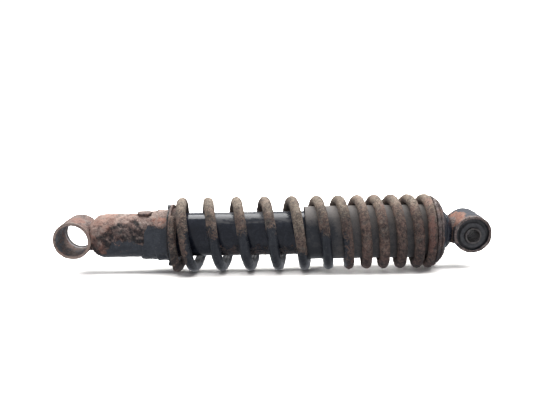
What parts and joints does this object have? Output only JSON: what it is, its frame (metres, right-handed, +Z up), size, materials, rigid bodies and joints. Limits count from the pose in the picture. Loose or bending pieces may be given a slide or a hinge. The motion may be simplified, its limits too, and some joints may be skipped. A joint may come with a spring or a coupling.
{
  "type": "motorcycle rear shock absorber",
  "caption": "Coil-over hydraulic rear shock with a progressive spring, stepped preload collar, bare lower eye and rubber-bushed upper eye.",
  "frame": {"origin": "centre of the lower eye's bore", "axes": "+X along the shock from the lower eye to the upper eye, +Y along both eyes' bores, +Z up when the shock lies as stored"},
  "size_m": [0.3558, 0.0616, 0.0616],
  "materials": {
    "rusted_paint": "flaking black paint over brown rust",
    "reservoir_paint": "gloss black paint, rusted at the lower end",
    "spring_rust": "beige and brown rust with charcoal paint left",
    "seat_rust": "pitted brown rust",
    "dome_paint": "gloss black paint",
    "cover_plastic": "satin black with dust",
    "bare_steel": "plain turned steel",
    "chromed_steel": "hard chromed and ground",
    "sintered_iron": "sintered, oily",
    "bronze": "plain bearing bronze",
    "black_rubber": "weathered black rubber",
    "ring_plastic": "filled bearing plastic"
  },
  "bodies": {
    "damper_body": {"lower_eye": "rusted_paint", "lower_eye_weld": "rusted_paint", "lower_end_cap": "reservoir_paint", "reservoir_tube": "reservoir_paint", "preload_lugs": "rusted_paint", "pressure_tube": "bare_steel", "base_valve_body": "sintered_iron", "base_valve_spring": "bare_steel", "base_valve_pin": "bare_steel", "rod_guide": "sintered_iron", "rod_guide_bush": "bronze", "guide_o_ring": "black_rubber", "rod_seal": "black_rubber", "seal_retainer": "bare_steel", "coil_spring": "spring_rust"},
    "base_valve_plate": {"base_valve_disc": "bare_steel"},
    "spring_seat": {"lower_seat_pad": "black_rubber", "lower_spring_seat": "seat_rust"},
    "preload_cam": {"preload_cam_collar": "rusted_paint"},
    "piston_band": {"piston_ring": "ring_plastic"},
    "upper_body": {"piston_rod": "chromed_steel", "piston": "sintered_iron", "piston_nut": "bare_steel", "valve_shims": "bare_steel", "rebound_stop": "black_rubber", "bump_stop": "black_rubber", "bump_stop_washer": "bare_steel", "rod_locknut": "bare_steel", "dust_cover": "cover_plastic", "upper_spring_seat": "seat_rust", "upper_mount_dome": "dome_paint", "upper_eye_weld": "rusted_paint", "upper_eye": "rusted_paint", "upper_bush_rubber": "black_rubber"},
    "upper_sleeve": {"upper_bush_sleeve": "bare_steel"}
  },
  "joints": [
    {"name": "stroke", "type": "slide", "parent": "damper_body", "child": "piston_band", "axis": [-1, 0, 0], "range_m": [0, 0.06], "stiffness_N_per_m": 20000, "springref_m": -0.012, "deforming": ["coil_spring"]},
    {"name": "rod_turn", "type": "hinge", "parent": "piston_band", "child": "upper_body", "pos_m": [0.2, 0, 0], "axis": [1, 0, 0], "continuous": true},
    {"name": "upper_bush_twist", "type": "hinge", "parent": "upper_body", "child": "upper_sleeve", "pos_m": [0.325, 0, 0], "axis": [0, 1, 0], "range_deg": [-15, 15], "stiffness_Nm_per_rad": 12},
    {"name": "preload_lift", "type": "slide", "parent": "damper_body", "child": "spring_seat", "axis": [1, 0, 0], "range_m": [0, 0.009], "deforming": ["coil_spring"]},
    {"name": "preload_turn", "type": "hinge", "parent": "spring_seat", "child": "preload_cam", "pos_m": [0.07, 0, 0], "axis": [-1, 0, 0], "range_deg": [0, 144]},
    {"name": "base_valve_open", "type": "slide", "parent": "damper_body", "child": "base_valve_plate", "axis": [1, 0, 0], "range_m": [0, 0.001], "stiffness_N_per_m": 800, "springref_m": -0.001, "deforming": ["base_valve_spring"]}
  ],
  "couplings": [
    {"joint": "preload_turn", "follows": "preload_lift", "rad_per_m": 279.25}
  ]
}
